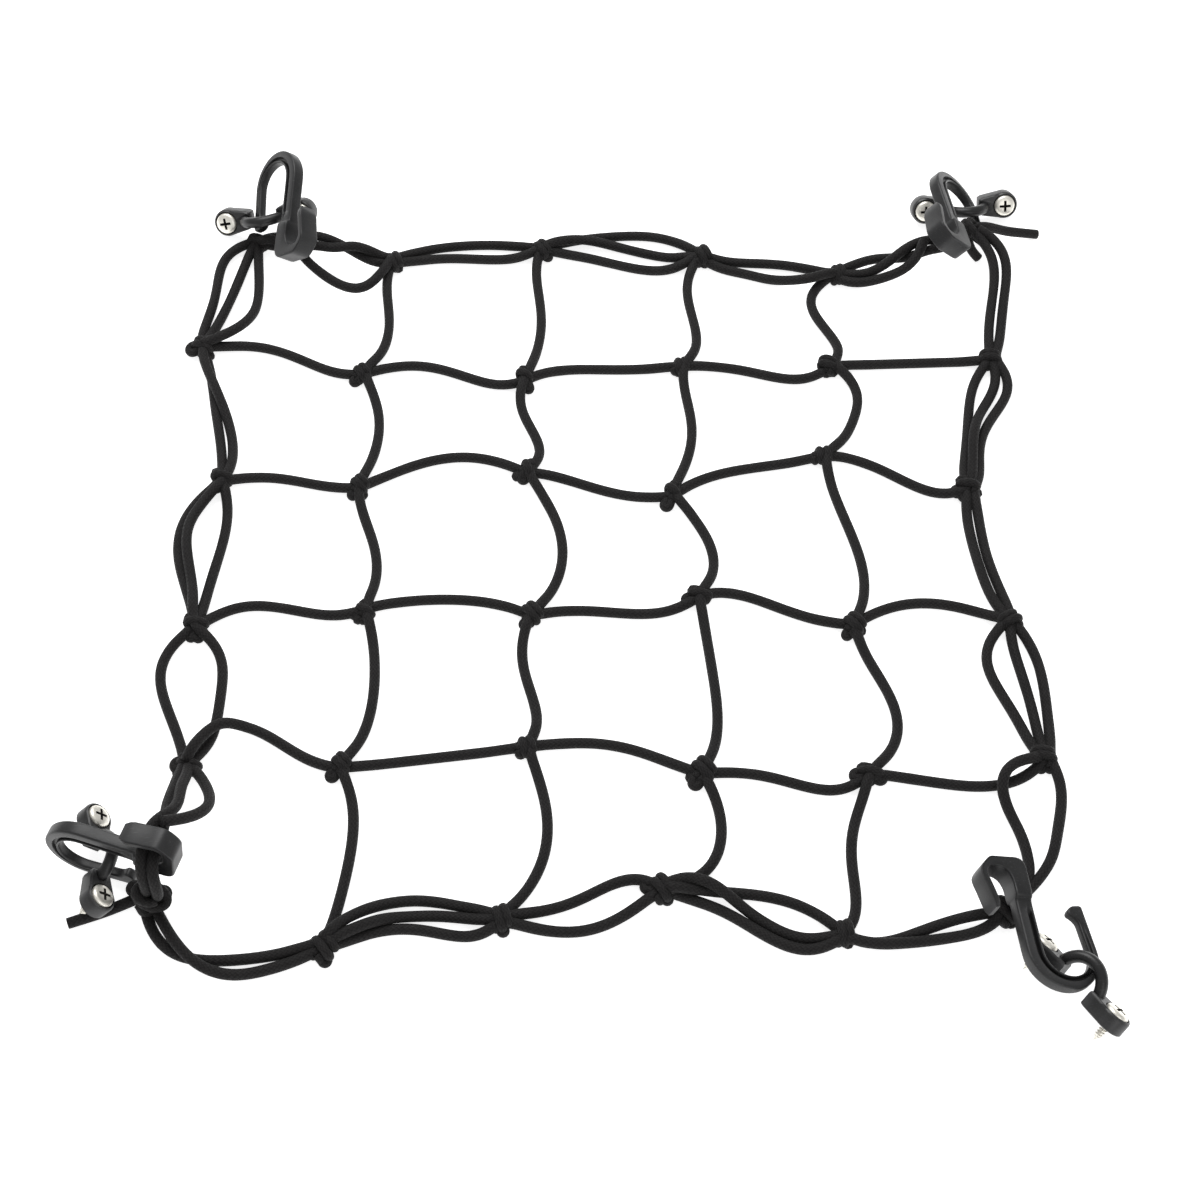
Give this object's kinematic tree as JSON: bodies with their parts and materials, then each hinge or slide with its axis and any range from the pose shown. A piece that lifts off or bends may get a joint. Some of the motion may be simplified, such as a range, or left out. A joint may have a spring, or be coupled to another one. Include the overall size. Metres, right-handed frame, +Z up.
{
  "type": "cargo net with corner hooks and pad eyes",
  "caption": "Small cargo net of knotted elastic cord laid out flat, with moulded hooks at its corners and screw-down pad eyes on the hooks.",
  "frame": {"origin": "middle of the laid-out net's bounding box, on the surface that it lies on", "axes": "+X to the right and +Y away from the front edge of the net as the picture shows it, +Z up"},
  "size_m": [0.4691, 0.4815, 0.047],
  "materials": {
    "cord": "matte braided elastic cord",
    "hook_plastic": "satin moulded plastic",
    "pad_eye_plastic": "satin moulded plastic",
    "screw_metal": "nickel-plated steel"
  },
  "bodies": {
    "root": {"border_back": "cord", "border_left": "cord", "border_right": "cord", "border_front": "cord", "row_cord_b": "cord", "row_cord_c": "cord", "row_cord_d": "cord", "row_cord_e": "cord", "column_cord_1": "cord", "column_cord_2": "cord", "column_cord_3": "cord", "column_cord_4": "cord", "corner_lashing_back_left": "cord", "corner_lashing_back_right": "cord", "corner_lashing_front_left": "cord", "corner_lashing_front_right": "cord", "hook_back_left": "hook_plastic", "hook_back_right": "hook_plastic", "hook_front_left": "hook_plastic", "hook_front_right": "hook_plastic", "pad_eye_back_left": "pad_eye_plastic", "pad_eye_back_right": "pad_eye_plastic", "pad_eye_front_left": "pad_eye_plastic", "pad_eye_front_right": "pad_eye_plastic", "screw_back_left_1": "screw_metal", "screw_back_left_2": "screw_metal", "screw_back_right_1": "screw_metal", "screw_back_right_2": "screw_metal", "screw_front_left_1": "screw_metal", "screw_front_left_2": "screw_metal", "screw_front_right_1": "screw_metal", "screw_front_right_2": "screw_metal"}
  },
  "joints": []
}
